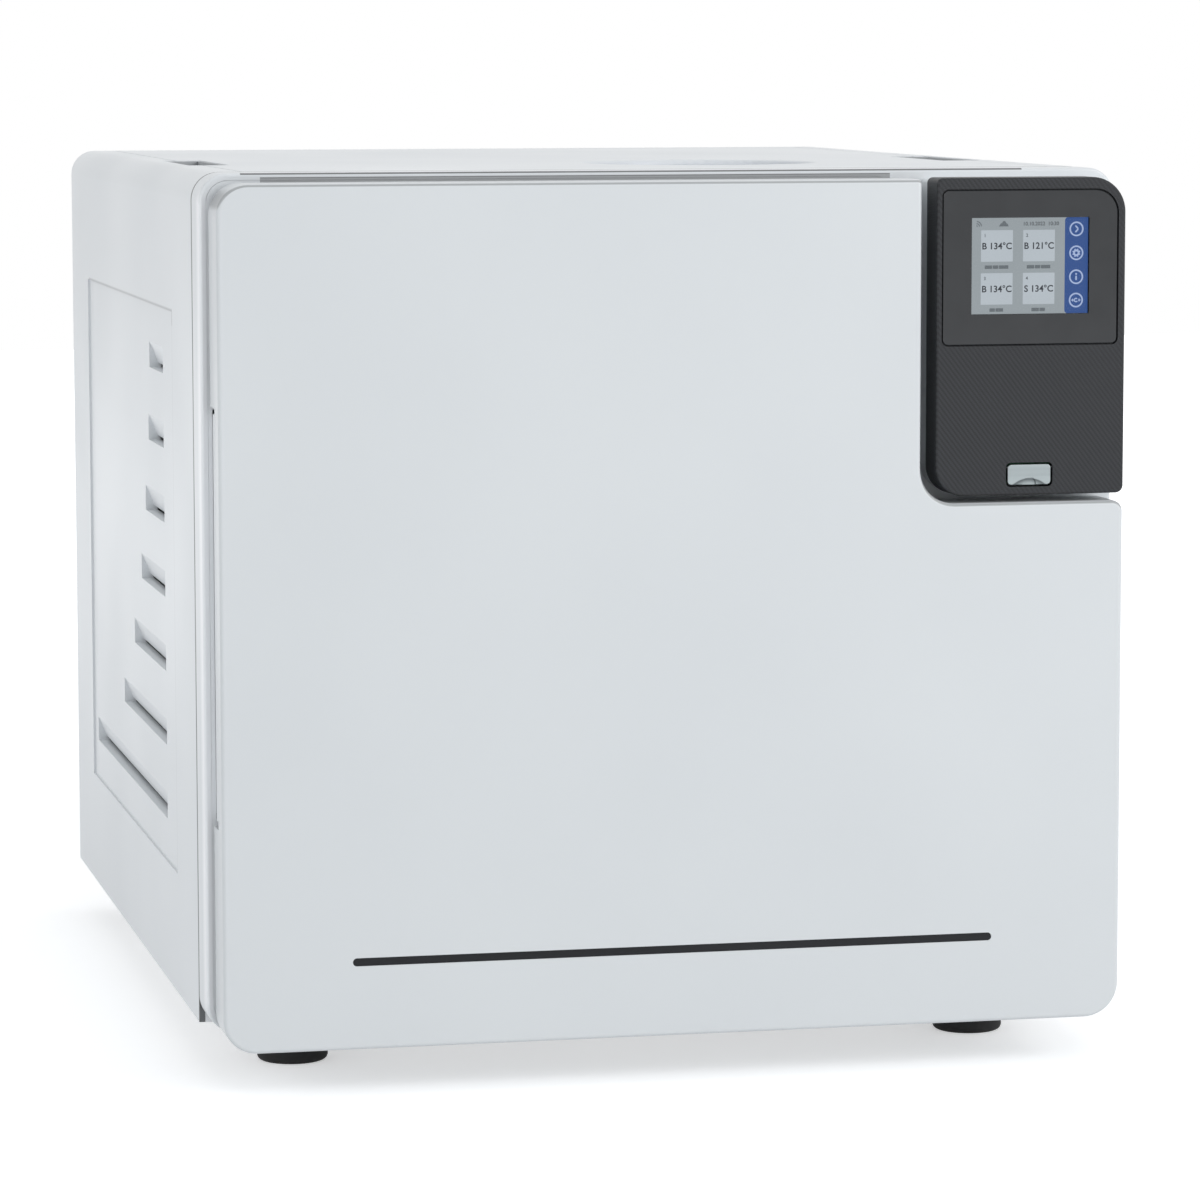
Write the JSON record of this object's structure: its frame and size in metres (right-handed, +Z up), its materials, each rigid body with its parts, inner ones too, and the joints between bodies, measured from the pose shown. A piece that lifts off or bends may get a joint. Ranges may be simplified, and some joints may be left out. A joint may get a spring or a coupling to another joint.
{
  "type": "autoclave",
  "caption": "Bench-top steam steriliser with a hinged front door, touch panel, round pressure chamber and tray rack.",
  "frame": {"origin": "on the table, under the middle of the housing's footprint", "axes": "+Z up, the door faces -Y, +X to the right seen from the front, the long side runs along Y"},
  "size_m": [0.48, 0.6, 0.467],
  "materials": {
    "panel_white": "fine satin powder coat",
    "door_white": "satin moulded shell",
    "liner_grey": "matt moulded",
    "light_bar": "smoked light guide",
    "carbon_panel": "lacquered twill weave",
    "dark_glass": "smooth polished",
    "display": "lit screen",
    "silver": "satin anodised",
    "circuit_board": "solder resist",
    "port_steel": "plated",
    "zinc_sheet": "galvanised",
    "rubber": "matt",
    "cast_frame": "die cast",
    "bright_steel": "turned",
    "stainless": "electropolished",
    "silicone": "soft translucent",
    "heater": "silicone heater mat",
    "insulation": "glass fabric",
    "tray_metal": "anodised",
    "tank_plastic": "translucent polypropylene",
    "cap_blue": "moulded",
    "black_plastic": "moulded",
    "filter_white": "moulded",
    "brass": "turned",
    "copper": "drawn tube",
    "condenser_metal": "thin fins",
    "pump_metal": "die cast"
  },
  "bodies": {
    "housing": {"air_filter": "filter_white", "band_heaters": "heater", "base_tray": "zinc_sheet", "chamber": "stainless", "chamber_flange": "stainless", "chamber_insulation": "insulation", "clean_water_tank": "tank_plastic", "condenser": "condenser_metal", "control_board": "circuit_board", "control_housing": "carbon_panel", "display_module": "display", "drain_couplings": "brass", "fan_guard": "black_plastic", "fan_housing": "black_plastic", "feet": "rubber", "front_bezel": "panel_white", "front_bulkhead": "zinc_sheet", "hinge_arm": "cast_frame", "hinge_pin": "bright_steel", "left_grip_pocket": "liner_grey", "left_side_panel": "panel_white", "lock_housing": "black_plastic", "lock_motor": "black_plastic", "main_board": "circuit_board", "port_socket": "port_steel", "power_inlet": "black_plastic", "rear_panel": "zinc_sheet", "right_grip_pocket": "liner_grey", "right_side_panel": "panel_white", "safety_valve": "brass", "screen_glass": "dark_glass", "screws": "bright_steel", "solenoid_coils": "black_plastic", "steam_generator": "stainless", "steam_pipe": "copper", "switch_body": "black_plastic", "tank_shelf": "zinc_sheet", "top_cover": "panel_white", "tray_1": "tray_metal", "tray_2": "tray_metal", "tray_3": "tray_metal", "tray_rack": "tray_metal", "used_water_tank": "tank_plastic", "vacuum_pump": "pump_metal", "valve_block": "cast_frame", "water_pump": "black_plastic"},
    "door": {"door_cover": "door_white", "light_strip": "light_bar", "door_liner": "liner_grey", "door_frame": "cast_frame", "pressure_disc": "stainless", "disc_stud": "bright_steel", "door_gasket": "silicone", "door_striker": "bright_steel"},
    "port_flap": {"port_flap": "silver"},
    "filler_cap": {"filler_cap": "cap_blue"},
    "lock_bolt": {"lock_bolt": "bright_steel"},
    "power_rocker": {"power_rocker": "black_plastic"},
    "fan_rotor": {"fan_rotor": "black_plastic"}
  },
  "joints": [
    {"name": "door_hinge", "type": "hinge", "parent": "housing", "child": "door", "pos_m": [-0.228, -0.278, 0.244], "axis": [0, 0, -1], "range_deg": [0, 100]},
    {"name": "flap_hinge", "type": "hinge", "parent": "housing", "child": "port_flap", "pos_m": [0.18505, -0.299, 0.3139], "axis": [-1, 0, 0], "range_deg": [0, 100]},
    {"name": "cap_lift", "type": "slide", "parent": "housing", "child": "filler_cap", "axis": [0, 0, 1], "range_m": [0, 0.04]},
    {"name": "bolt_slide", "type": "slide", "parent": "housing", "child": "lock_bolt", "axis": [0, 0, 1], "range_m": [0, 0.02]},
    {"name": "rocker_pivot", "type": "hinge", "parent": "housing", "child": "power_rocker", "pos_m": [0.206, -0.247, 0.096], "axis": [1, 0, 0], "range_deg": [-16, 0]},
    {"name": "fan_spin", "type": "hinge", "parent": "housing", "child": "fan_rotor", "pos_m": [0.184, 0.273, 0.13], "axis": [0, 1, 0], "continuous": true}
  ]
}
